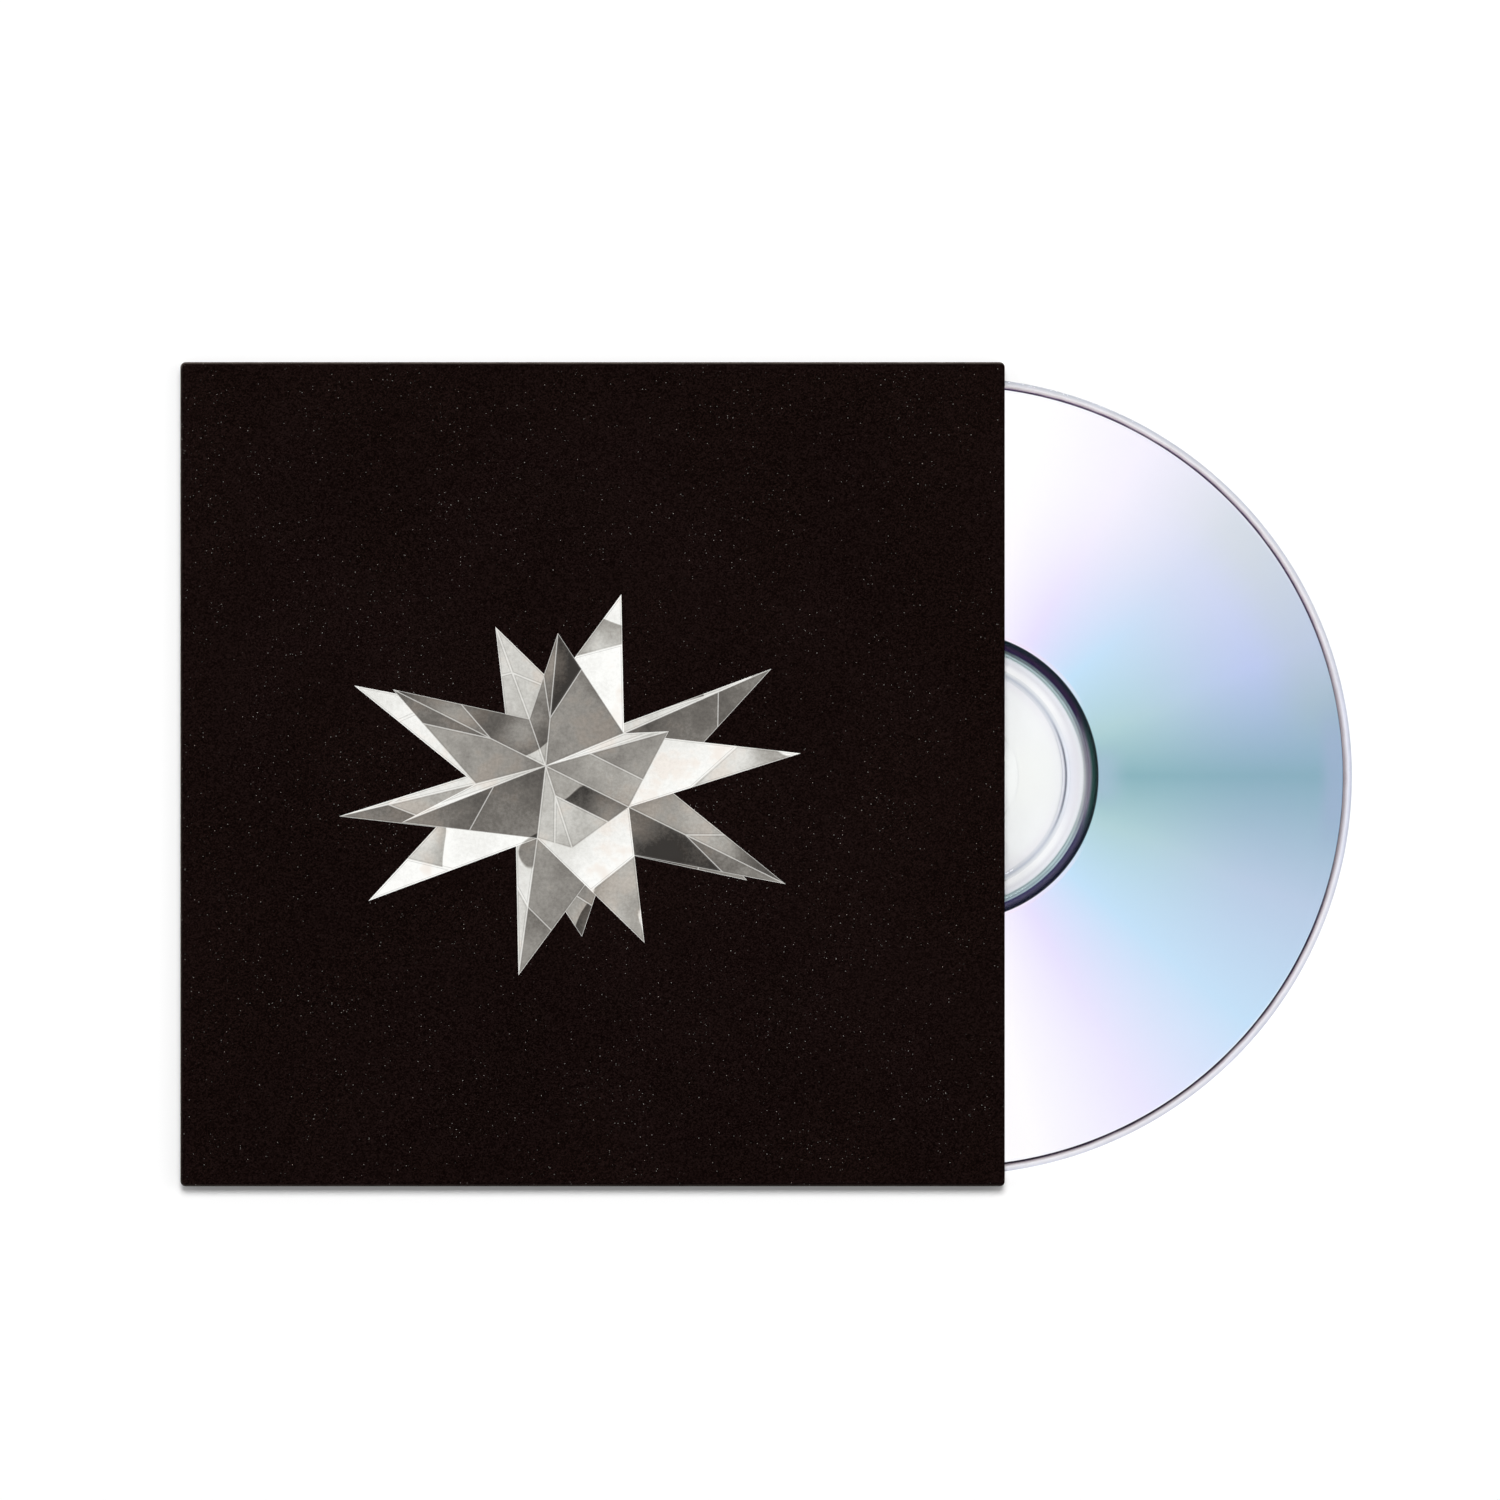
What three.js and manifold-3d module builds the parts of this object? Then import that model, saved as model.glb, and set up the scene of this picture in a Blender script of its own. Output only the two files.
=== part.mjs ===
import * as THREE from "three";
import { mergeVertices } from "three/addons/utils/BufferGeometryUtils.js";
import Module from "manifold-3d";

const wasm = await Module();
wasm.setup();

// A card sleeve lying on its back with a disc drawn half out of it, in millimetres.
// X runs from the spine to the open edge, Y up the printed front, Z from the back panel to the front panel.
// The origin is the middle of the back panel's outer face.

// Disc, moulded in clear plastic
const discRadius = 60;
const discThickness = 1.2;
const holeRadius = 7.5;
const discEdgeRound = 0.15; // rounding of the rim and of the hole's edges
const stackRingRadius = 17; // raised ring that keeps stacked discs apart
const stackRingWidth = 1.2;
const stackRingHeight = 0.2;
const mouldGrooveRadius = 19.8; // groove left by the moulding tool
const mouldGrooveWidth = 0.7;
const mouldGrooveDepth = 0.12;
const hubGrooveRadius = 9.8; // fine groove around the hole
const hubGrooveWidth = 0.5;
const hubGrooveDepth = 0.08;

// Reflective layer, a metal film and its lacquer on the disc's label side
const layerInnerRadius = 20.5;
const layerRimMargin = 1.3; // clear rim left outside the layer
const layerThickness = 0.03;

// Sleeve, one blank of printed board, folded at the spine, the top and the bottom
const boardThickness = 0.45;
const foldRadius = 0.55; // outside of each fold
const cornerEasing = 0.15; // what a corner's radius has over a fold's
const flapWidth = 12; // glue flaps, folded in and stuck under the front panel
const flapEndInset = 3; // from a flap's end to the spine or the open edge
const flapEndLean = 4; // how far a flap's end leans in towards its free edge

// Clearances
const sideClearance = 1.55; // disc's rim to the spine, the top and the bottom
const openEdgeCover = 2; // panels past the rim of a disc that is pushed home
const underClearance = 0.2; // disc to the back panel
const overClearance = 0.25; // disc to the glue flaps

// Where the disc is
const discReach = 52.3; // rim past the open edge
const discDrop = 0.3; // disc's middle below the sleeve's, across the slide

// Facets
const discSegments = 96;
const sectionDivisions = 2;
const foldSegments = 4;
const cornerSegments = 4;

// Derived sizes
const pocketDepth = sideClearance + 2 * discRadius + openEdgeCover;
const pocketHeight = 2 * (discRadius + sideClearance);
const discUnderside = boardThickness + underClearance;
const flapUnderside = discUnderside + discThickness + overClearance;
const pocketTop = flapUnderside + boardThickness;
const sleeveWidth = boardThickness + pocketDepth;
const sleeveHeight = pocketHeight + 2 * boardThickness;
const sleeveThickness = pocketTop + boardThickness;
const openEdge = sleeveWidth / 2;
const spineInside = boardThickness - sleeveWidth / 2;
const cornerRadius = foldRadius + cornerEasing;
const cutOverrun = 4 * foldRadius; // what a cutting solid has past the faces that it cuts

// A closed mesh as a solid that can be cut.
function solidOf(geometry) {
  geometry.deleteAttribute("normal");
  geometry.deleteAttribute("uv");
  const merged = mergeVertices(geometry, 1e-4);
  return new wasm.Manifold(
    new wasm.Mesh({
      numProp: 3,
      vertProperties: new Float32Array(merged.attributes.position.array),
      triVerts: new Uint32Array(merged.index.array),
    }),
  );
}

// A cut solid as a geometry.
function geometryOf(solid) {
  const { vertProperties, triVerts } = solid.getMesh();
  const geometry = new THREE.BufferGeometry();
  geometry.setAttribute("position", new THREE.BufferAttribute(vertProperties, 3));
  geometry.setIndex(new THREE.BufferAttribute(triVerts, 1));
  geometry.computeVertexNormals();
  return geometry;
}

// An upright block between two heights over an outline.
function blockOver(outline, low, high) {
  const geometry = new THREE.ExtrudeGeometry(outline, {
    depth: high - low,
    bevelEnabled: false,
    curveSegments: cornerSegments,
  });
  return geometry.translate(0, 0, low);
}

// A rectangle with round corners.
function roundedOutline(left, right, bottom, top, radius) {
  const outline = new THREE.Shape();
  outline.absarc(right - radius, bottom + radius, radius, -Math.PI / 2, 0);
  outline.absarc(right - radius, top - radius, radius, 0, Math.PI / 2);
  outline.absarc(left + radius, top - radius, radius, Math.PI / 2, Math.PI);
  outline.absarc(left + radius, bottom + radius, radius, Math.PI, 1.5 * Math.PI);
  return outline.closePath();
}

// The folded sleeve before it is hollowed: round at its three folded edges, cut square at the open edge.
function sleeveEnvelope() {
  const halfWidth = sleeveWidth / 2;
  const halfHeight = sleeveHeight / 2;
  const core = roundedOutline(
    foldRadius - halfWidth,
    halfWidth + cutOverrun,
    foldRadius - halfHeight,
    halfHeight - foldRadius,
    cornerEasing,
  );
  const folded = new THREE.ExtrudeGeometry(core, {
    depth: sleeveThickness - 2 * foldRadius,
    bevelThickness: foldRadius,
    bevelSize: foldRadius,
    bevelSegments: foldSegments,
    curveSegments: cornerSegments,
  });
  folded.translate(0, 0, foldRadius);
  const trim = roundedOutline(
    -halfWidth - cutOverrun,
    halfWidth,
    -halfHeight,
    halfHeight,
    cornerRadius,
  );
  const trimBlock = blockOver(trim, -cutOverrun, sleeveThickness + cutOverrun);
  return solidOf(folded).intersect(solidOf(trimBlock));
}

// A glue flap under the front panel, on the top fold (side 1) or the bottom fold (side -1).
function glueFlap(side) {
  const foldLine = (side * pocketHeight) / 2;
  const freeEdge = foldLine - side * flapWidth;
  const spineEnd = spineInside + flapEndInset;
  const openEnd = openEdge - flapEndInset;
  const outline = new THREE.Shape([
    new THREE.Vector2(spineEnd, foldLine + side * cutOverrun),
    new THREE.Vector2(spineEnd, foldLine),
    new THREE.Vector2(spineEnd + flapEndLean, freeEdge),
    new THREE.Vector2(openEnd - flapEndLean, freeEdge),
    new THREE.Vector2(openEnd, foldLine),
    new THREE.Vector2(openEnd, foldLine + side * cutOverrun),
  ]);
  return solidOf(blockOver(outline, flapUnderside, pocketTop + cutOverrun));
}

// The space inside the sleeve, open at the right, less its glue flaps.
function pocketSpace() {
  const box = new THREE.BoxGeometry(
    pocketDepth + cutOverrun,
    pocketHeight,
    pocketTop - boardThickness,
  );
  box.translate(
    spineInside + (pocketDepth + cutOverrun) / 2,
    0,
    (boardThickness + pocketTop) / 2,
  );
  return solidOf(box).subtract(glueFlap(1)).subtract(glueFlap(-1));
}

function makeSleeve() {
  const printedBoard = new THREE.MeshStandardMaterial({
    color: 0x140b08,
    roughness: 0.6,
    metalness: 0,
  });
  const sleeve = new THREE.Mesh(
    geometryOf(sleeveEnvelope().subtract(pocketSpace())),
    printedBoard,
  );
  sleeve.name = "sleeve";
  return sleeve;
}

// A closed section of radius and height, turned about the disc's axis.
function turned(section) {
  const points = section.getPoints(sectionDivisions);
  return new THREE.LatheGeometry(points, discSegments).rotateX(Math.PI / 2);
}

// The clear disc: its section runs along the flat label side, up the rim and back over the playing side.
function discSection() {
  const round = discEdgeRound;
  const top = discThickness;
  const section = new THREE.Shape();
  section.absarc(discRadius - round, round, round, -Math.PI / 2, 0);
  section.absarc(discRadius - round, top - round, round, 0, Math.PI / 2);
  section.absellipse(mouldGrooveRadius, top, mouldGrooveWidth / 2, mouldGrooveDepth, 0, Math.PI, true);
  section.absellipse(stackRingRadius, top, stackRingWidth / 2, stackRingHeight, 0, Math.PI);
  section.absellipse(hubGrooveRadius, top, hubGrooveWidth / 2, hubGrooveDepth, 0, Math.PI, true);
  section.absarc(holeRadius + round, top - round, round, Math.PI / 2, Math.PI);
  section.absarc(holeRadius + round, round, round, Math.PI, 1.5 * Math.PI);
  return section.closePath();
}

// The flat ring of film and lacquer under the clear disc.
function layerSection() {
  const outerRadius = discRadius - layerRimMargin;
  return new THREE.Shape([
    new THREE.Vector2(layerInnerRadius, -layerThickness),
    new THREE.Vector2(outerRadius, -layerThickness),
    new THREE.Vector2(outerRadius, 0),
    new THREE.Vector2(layerInnerRadius, 0),
  ]).closePath();
}

function makeDisc() {
  const clearPlastic = new THREE.MeshStandardMaterial({
    color: 0xf1f5f7,
    roughness: 0.08,
    metalness: 0,
    transparent: true,
    opacity: 0.35,
  });
  const metalFilm = new THREE.MeshStandardMaterial({
    color: 0xc3d3dc,
    roughness: 0.18,
    metalness: 1,
  });
  const substrate = new THREE.Mesh(turned(discSection()), clearPlastic);
  substrate.name = "disc_substrate";
  const layer = new THREE.Mesh(turned(layerSection()), metalFilm);
  layer.name = "reflective_layer";

  const disc = new THREE.Group();
  disc.add(substrate, layer);
  disc.position.set(openEdge + discReach - discRadius, -discDrop, discUnderside);
  return disc;
}

const sleeveWithDisc = new THREE.Group();
sleeveWithDisc.add(makeSleeve(), makeDisc());

export default sleeveWithDisc;
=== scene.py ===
import math
import random

import bmesh
import bpy
from mathutils import Euler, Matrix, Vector
from mathutils.geometry import delaunay_2d_cdt


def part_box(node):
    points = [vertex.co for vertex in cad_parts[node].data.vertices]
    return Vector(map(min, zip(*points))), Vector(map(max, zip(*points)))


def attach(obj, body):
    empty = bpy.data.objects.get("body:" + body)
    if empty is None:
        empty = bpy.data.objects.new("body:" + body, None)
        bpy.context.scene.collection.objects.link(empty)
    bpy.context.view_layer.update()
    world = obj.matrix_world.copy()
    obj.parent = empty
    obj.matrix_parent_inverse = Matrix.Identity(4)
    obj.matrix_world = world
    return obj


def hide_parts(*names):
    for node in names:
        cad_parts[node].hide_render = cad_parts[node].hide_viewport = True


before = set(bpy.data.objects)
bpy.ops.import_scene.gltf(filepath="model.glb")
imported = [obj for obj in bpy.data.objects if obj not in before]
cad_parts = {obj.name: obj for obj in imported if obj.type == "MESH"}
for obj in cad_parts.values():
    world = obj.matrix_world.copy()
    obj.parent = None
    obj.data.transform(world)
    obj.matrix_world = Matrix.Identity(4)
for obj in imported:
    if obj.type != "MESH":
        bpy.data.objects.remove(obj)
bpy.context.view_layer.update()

mm = 0.001

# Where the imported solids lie
sleeveLow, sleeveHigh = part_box("sleeve")
discLow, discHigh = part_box("disc_substrate")
filmLow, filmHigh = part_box("reflective_layer")
discMiddle = Vector(((discLow.x + discHigh.x) / 2, (discLow.y + discHigh.y) / 2, 0))
discRadius = (discHigh.x - discLow.x) / 2
filmRadius = (filmHigh.x - filmLow.x) / 2


# Small tools for node trees and meshes

def shade(red, green, blue, alpha=1.0):
    # a screen colour, 0 to 255, as the light values that Blender's sockets hold
    def toLight(value):
        value /= 255
        return value / 12.92 if value <= 0.04045 else ((value + 0.055) / 1.055) ** 2.4
    return toLight(red), toLight(green), toLight(blue), alpha


def plug(tree, socket, value):
    if isinstance(value, bpy.types.NodeSocket):
        tree.links.new(value, socket)
    else:
        socket.default_value = value


def addNode(tree, kind, inputs=None, **settings):
    node = tree.nodes.new(kind)
    for name, value in settings.items():
        setattr(node, name, value)
    for name, value in (inputs or {}).items():
        plug(tree, node.inputs[name], value)
    return node


def calc(tree, operation, *values):
    node = addNode(tree, "ShaderNodeMath", operation=operation)
    for socket, value in zip(node.inputs, values):
        plug(tree, socket, value)
    return node.outputs[0]


def product(tree, first, *others):
    for other in others:
        first = calc(tree, "MULTIPLY", first, other)
    return first


def fade(tree, value, fromLow, fromHigh, low=0.0, high=1.0):
    # a soft step of value between two limits
    inputs = {"Value": value, "From Min": fromLow, "From Max": fromHigh, "To Min": low, "To Max": high}
    return addNode(tree, "ShaderNodeMapRange", inputs, interpolation_type="SMOOTHSTEP").outputs[0]


def noise(tree, place, size, detail=2.0, roughness=0.5):
    # noise whose features are about size across
    inputs = {"Vector": place, "Scale": 1 / size, "Detail": detail, "Roughness": roughness}
    return addNode(tree, "ShaderNodeTexNoise", inputs).outputs[0]


def spread(tree, cloud, low, high):
    # noise, which hardly leaves 0.3 to 0.7, spread from low to high
    return fade(tree, cloud, 0.3, 0.7, low, high)


def ramp(tree, value, stops, low=0.0, high=1.0):
    # colours at places between low and high
    node = addNode(tree, "ShaderNodeValToRGB")
    node.color_ramp.interpolation = "LINEAR"
    spots = node.color_ramp.elements
    while len(spots) < len(stops):
        spots.new(1.0)
    for spot, (place, colour) in zip(spots, stops):
        spot.position = (place - low) / (high - low)
        spot.color = colour
    span = addNode(tree, "ShaderNodeMapRange", {"Value": value, "From Min": low, "From Max": high})
    tree.links.new(span.outputs[0], node.inputs[0])
    return node.outputs[0]


def blendColours(tree, factor, first, second, blendType="MIX"):
    # the node's sockets for colours are 6, 7 and 2
    node = addNode(tree, "ShaderNodeMix", data_type="RGBA", blend_type=blendType)
    plug(tree, node.inputs[0], factor)
    plug(tree, node.inputs[6], first)
    plug(tree, node.inputs[7], second)
    return node.outputs[2]


def newMaterial(name):
    material = bpy.data.materials.new(name)
    material.use_nodes = True
    tree = material.node_tree
    tree.nodes.clear()
    output = addNode(tree, "ShaderNodeOutputMaterial")
    place = addNode(tree, "ShaderNodeTexCoord").outputs["Object"]
    return material, tree, output, place


def finishShader(tree, output, **inputs):
    # a Principled shader on the material's output; words in the names are joined by underscores
    shader = addNode(tree, "ShaderNodeBsdfPrincipled")
    for name, value in inputs.items():
        plug(tree, shader.inputs[name.replace("_", " ")], value)
    tree.links.new(shader.outputs[0], output.inputs[0])
    return shader


def bumpFrom(tree, height, depth, strength=1.0):
    inputs = {"Height": height, "Distance": depth, "Strength": strength}
    return addNode(tree, "ShaderNodeBump", inputs).outputs[0]


def meshObject(name, mesh, *materials):
    piece = bpy.data.objects.new(name, mesh)
    bpy.context.scene.collection.objects.link(piece)
    for material in materials:
        mesh.materials.append(material)
    return piece


def plainMesh(worker, name):
    # what the worker's modifiers make of it, as a mesh of its own; the worker goes
    evaluated = worker.evaluated_get(bpy.context.evaluated_depsgraph_get())
    mesh = bpy.data.meshes.new_from_object(evaluated)
    mesh.name = name
    bpy.data.objects.remove(worker)
    return mesh


# Camera, straight above, at the photo's framing
cameraSettings = {
    "framePixels": 1500,
    "pixelSize": 0.1504 * mm,  # on the sleeve's front
    "sleeveMiddle": (592.5, 774.2),  # pixel
    "height": 1.6,
    "sensor": 36.0,
    "clip": (0.01, 20.0),
}


def makeCamera(settings):
    pixels, size = settings["framePixels"], settings["pixelSize"]
    across, down = settings["sleeveMiddle"]
    cameraData = bpy.data.cameras.new("camera")
    cameraData.sensor_width = settings["sensor"]
    cameraData.lens = settings["sensor"] * (settings["height"] - sleeveHigh.z) / (pixels * size)
    cameraData.clip_start, cameraData.clip_end = settings["clip"]
    camera = bpy.data.objects.new("camera", cameraData)
    middleX = (sleeveLow.x + sleeveHigh.x) / 2 + (pixels / 2 - across) * size
    middleY = (sleeveLow.y + sleeveHigh.y) / 2 + (down - pixels / 2) * size
    camera.location = (middleX, middleY, settings["height"])
    bpy.context.scene.collection.objects.link(camera)
    bpy.context.scene.camera = camera


# Studio: a white room, a soft lamp past the top edge and a weaker one on each side
studioSettings = {
    "roomLight": 0.28,
    "floorSize": 30.0,
    "floorDrop": 0.02 * mm,
    "floorPaint": 0.96,
    "nearGlow": 0.03,
    "farGlow": 0.7,
    "glowFades": (0.16, 0.5),  # distances at which nearGlow ends and farGlow begins
    "lamps": [
        # name, place, size, power
        ("topLamp", (0.05, 1.0, 2.35), 1.05, 50.0),
        ("leftLamp", (-2.2, 0.3, 2.0), 1.5, 7.5),
        ("rightLamp", (2.2, 0.3, 2.0), 1.5, 7.5),
    ],
}


def seenDirectly(tree):
    # 1 for what the camera sees, also in gloss and through clear plastic; 0 for what lights matt surfaces
    path = addNode(tree, "ShaderNodeLightPath")
    seen = calc(tree, "MAXIMUM", path.outputs["Is Camera Ray"], path.outputs["Is Glossy Ray"])
    seen = calc(tree, "MAXIMUM", seen, path.outputs["Is Transmission Ray"])
    return product(tree, seen, calc(tree, "LESS_THAN", path.outputs["Diffuse Depth"], 0.5))


def makeRoom(settings):
    world = bpy.data.worlds.new("room")
    bpy.context.scene.world = world
    world.use_nodes = True
    tree = world.node_tree
    tree.nodes.clear()
    # what lies under clear plastic gets the room's light by shadow rays, so it isn't counted twice
    underPlastic = addNode(tree, "ShaderNodeLightPath").outputs["Is Transmission Ray"]
    gathered = product(tree, calc(tree, "SUBTRACT", 1.0, underPlastic), settings["roomLight"])
    level = addNode(tree, "ShaderNodeMapRange", {"Value": seenDirectly(tree), "To Min": gathered})
    light = addNode(tree, "ShaderNodeBackground", {"Color": (1, 1, 1, 1), "Strength": level.outputs[0]})
    output = addNode(tree, "ShaderNodeOutputWorld")
    tree.links.new(light.outputs[0], output.inputs[0])


def makeFloor(settings):
    # white paint, which glows a little towards the camera so that it stays white far from the lamps
    material, tree, output, place = newMaterial("floorWhite")
    paint = settings["floorPaint"]
    surface = addNode(tree, "ShaderNodeBsdfDiffuse", {"Color": (paint, paint, paint, 1)})
    away = addNode(tree, "ShaderNodeVectorMath", {"Vector": place}, operation="LENGTH").outputs["Value"]
    glow = fade(tree, away, *settings["glowFades"], settings["nearGlow"], settings["farGlow"])
    light = addNode(tree, "ShaderNodeEmission", {"Strength": product(tree, seenDirectly(tree), glow)})
    both = addNode(tree, "ShaderNodeAddShader")
    tree.links.new(surface.outputs[0], both.inputs[0])
    tree.links.new(light.outputs[0], both.inputs[1])
    tree.links.new(both.outputs[0], output.inputs[0])
    half = settings["floorSize"] / 2
    level = sleeveLow.z - settings["floorDrop"]
    corners = [(-half, -half, level), (half, -half, level), (half, half, level), (-half, half, level)]
    mesh = bpy.data.meshes.new("floor")
    mesh.from_pydata(corners, [], [(0, 1, 2, 3)])
    meshObject("floor", mesh, material)


def makeLamps(settings):
    for name, spot, size, power in settings["lamps"]:
        lampData = bpy.data.lights.new(name, "AREA")
        lampData.shape = "DISK"
        lampData.size = size
        lampData.energy = power
        lamp = bpy.data.objects.new(name, lampData)
        lamp.location = spot
        lamp.visible_transmission = False  # it lights what lies under clear plastic by shadow rays
        lamp.rotation_euler = (-Vector(spot)).to_track_quat("-Z", "Y").to_euler()
        bpy.context.scene.collection.objects.link(lamp)


# Sleeve: printed board, folded at the spine, the top and the bottom, open at the right
sleeveSettings = {
    "board": 0.45 * mm,
    "foldRadius": 0.55 * mm,
    "cornerRadius": 0.8 * mm,
    "flapWidth": 12 * mm,
    "flapEndInset": 3 * mm,
    "flapEndLean": 4 * mm,
    "flapUnderside": 2.1 * mm,
    "cutOverrun": 2 * mm,
    "cutOverlap": 0.1 * mm,  # of the two blocks that cut the pocket
    "foldSteps": 10,
    "cornerSteps": 6,
    "flatNormal": 0.9999,  # a face is flat when its normal has this much of one axis
    "inkRelief": 0.02 * mm,  # the silver print stands this far above the black
}
printedSide, bareSide, cutSide = 0, 1, 2  # the board's materials, in the order of their slots

printSettings = {
    "darkInk": shade(2, 0, 0),
    "paleInk": shade(27, 17, 16),  # lightest grains of the ink
    "grainCell": 0.17 * mm,
    "grainPower": 1.4,  # above 1, for more dark grains than pale ones
    "cloudSize": 30 * mm,
    "cloudTone": 0.06,
    "speckCell": 0.16 * mm,
    "speckRadius": 0.42,  # share of a cell
    "speckTop": shade(178, 175, 170),
    "speckPower": 2.6,  # above 1, for more faint specks than bright ones
    "speckless": (0.993, 0.964),  # share of cells without a speck, outside the clusters and in them
    "clusterSize": 14 * mm,
    "clusterFades": (0.35, 0.75),  # noise outside the clusters and in them
    "toothSize": 0.3 * mm,
    "toothDepth": 0.006 * mm,
    # the next five entries paint a highlight along the folds, strongest on the top fold, on the top
    # lamp's side
    "foldHighlightTone": shade(94, 85, 79),
    "foldHighlightNoiseSize": 2.5 * mm,
    "foldHighlightBand": (0.01 * mm, 0.22 * mm, 0.3 * mm, 0.6 * mm),  # below the front: starts, full, fades, gone
    "foldHighlightTop": (1.2 * mm, 0.7 * mm),  # below the top edge: starts, full
    "foldHighlightElsewhere": 0.3,  # painted highlight on the spine, the bottom and the open edge beside that on the top fold
}


def paintedFoldHighlight(tree, place, settings):
    # a painted highlight: the ink is made paler where the front turns into a fold, most along the top
    # fold on the top lamp's side, and broken up by noise
    parts = addNode(tree, "ShaderNodeSeparateXYZ", {"Vector": place}).outputs
    front = sleeveHigh.z - sleeveSettings["inkRelief"]
    starts, full, fades, gone = [front - depth for depth in settings["foldHighlightBand"]]
    turned = product(tree, fade(tree, parts[2], starts, full), fade(tree, parts[2], gone, fades))
    low, high = [sleeveHigh.y - depth for depth in settings["foldHighlightTop"]]
    top = fade(tree, parts[1], low, high, settings["foldHighlightElsewhere"], 1.0)
    brokenUp = fade(tree, noise(tree, place, settings["foldHighlightNoiseSize"], 4.0, 0.65), 0.3, 0.6, 0.55, 1.0)
    return product(tree, turned, top, brokenUp)


def printedBlack(settings):
    # matt black ink on board: a fine grain, pale specks in loose clusters, and a painted highlight along
    # the folds
    material, tree, output, place = newMaterial("printedBlack")
    grains = addNode(tree, "ShaderNodeTexVoronoi", {"Vector": place, "Scale": 1 / settings["grainCell"]})
    grainDraw = addNode(tree, "ShaderNodeSeparateColor", {"Color": grains.outputs["Color"]}).outputs[0]
    cloud = noise(tree, place, settings["cloudSize"], 2.0)
    cloud = spread(tree, cloud, -settings["cloudTone"], settings["cloudTone"])
    grain = calc(tree, "ADD", calc(tree, "POWER", grainDraw, settings["grainPower"]), cloud)
    ink = blendColours(tree, grain, settings["darkInk"], settings["paleInk"])

    cells = addNode(tree, "ShaderNodeTexVoronoi", {"Vector": place, "Scale": 1 / settings["speckCell"]})
    draw = addNode(tree, "ShaderNodeSeparateColor", {"Color": cells.outputs["Color"]})
    cluster = noise(tree, place, settings["clusterSize"], 3.0, 0.6)
    speckless = fade(tree, cluster, *settings["clusterFades"], *settings["speckless"])
    chosen = calc(tree, "GREATER_THAN", draw.outputs[0], speckless)
    spot = fade(tree, cells.outputs["Distance"], settings["speckRadius"], settings["speckRadius"] / 2)
    strength = calc(tree, "POWER", draw.outputs[1], settings["speckPower"])
    colour = blendColours(tree, product(tree, chosen, spot, strength), ink, settings["speckTop"])
    # painted highlight along the folds
    colour = blendColours(tree, paintedFoldHighlight(tree, place, settings), colour, settings["foldHighlightTone"])
    tooth = noise(tree, place, settings["toothSize"], 3.0, 0.6)
    finishShader(
        tree, output,
        Base_Color=colour,
        Roughness=spread(tree, tooth, 0.5, 0.62),
        Specular_IOR_Level=0.015,
        Specular_Tint=(1.0, 0.62, 0.5, 1.0),
        Normal=bumpFrom(tree, tooth, settings["toothDepth"], 0.5),
    )
    return material


boardSettings = {
    "fibreSize": 0.5 * mm,
    "fibreDepth": 0.02 * mm,
    "cloudSize": 9 * mm,
    "cloudShare": 0.4,
    "bareTones": [(0.3, shade(196, 193, 186)), (0.5, shade(215, 212, 205)), (0.7, shade(229, 227, 221))],
    "layerSize": 0.12 * mm,
    "layerDepth": 0.03 * mm,
    "layerScale": (1.0, 0.06, 2.2),  # long along the edge, thin through the board
    "coreTones": [(0.3, shade(150, 145, 136)), (0.5, shade(188, 184, 175)), (0.7, shade(214, 211, 204))],
    "skin": (0.09 * mm, 0.05 * mm),  # below the outside: where the printed skin starts and is full
}


def bareBoard(settings):
    # the unprinted side of the board, seen inside the pocket
    material, tree, output, place = newMaterial("bareBoard")
    fibre = noise(tree, place, settings["fibreSize"], 4.0, 0.65)
    cloud = noise(tree, place, settings["cloudSize"], 3.0)
    share = settings["cloudShare"]
    mottle = calc(tree, "ADD", product(tree, fibre, 1 - share), product(tree, cloud, share))
    finishShader(
        tree, output,
        Base_Color=ramp(tree, mottle, settings["bareTones"]),
        Roughness=0.85,
        Specular_IOR_Level=0.2,
        Normal=bumpFrom(tree, fibre, settings["fibreDepth"], 0.6),
    )
    return material


def cutBoardEdge(settings):
    # die-cut edge: pale layered core between two dark printed skins
    material, tree, output, place = newMaterial("cutBoardEdge")
    stretched = addNode(tree, "ShaderNodeMapping", {"Vector": place, "Scale": settings["layerScale"]})
    layers = noise(tree, stretched.outputs[0], settings["layerSize"], 4.0, 0.7)
    height = addNode(tree, "ShaderNodeSeparateXYZ", {"Vector": place}).outputs[2]
    middle = (sleeveLow.z + sleeveHigh.z) / 2
    outward = calc(tree, "ABSOLUTE", calc(tree, "SUBTRACT", height, middle))
    half = (sleeveHigh.z - sleeveLow.z) / 2
    skin = fade(tree, outward, *[half - depth for depth in settings["skin"]])
    core = ramp(tree, layers, settings["coreTones"])
    finishShader(
        tree, output,
        Base_Color=blendColours(tree, skin, core, printSettings["paleInk"]),
        Roughness=0.9,
        Specular_IOR_Level=0.15,
        Normal=bumpFrom(tree, layers, settings["layerDepth"], 0.7),
    )
    return material


def roundCorner(middleX, middleY, radius, startDegrees, steps):
    # points of a quarter circle, counterclockwise
    corner = []
    for step in range(steps + 1):
        angle = math.radians(startDegrees + 90 * step / steps)
        corner.append((middleX + radius * math.cos(angle), middleY + radius * math.sin(angle)))
    return corner


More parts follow.
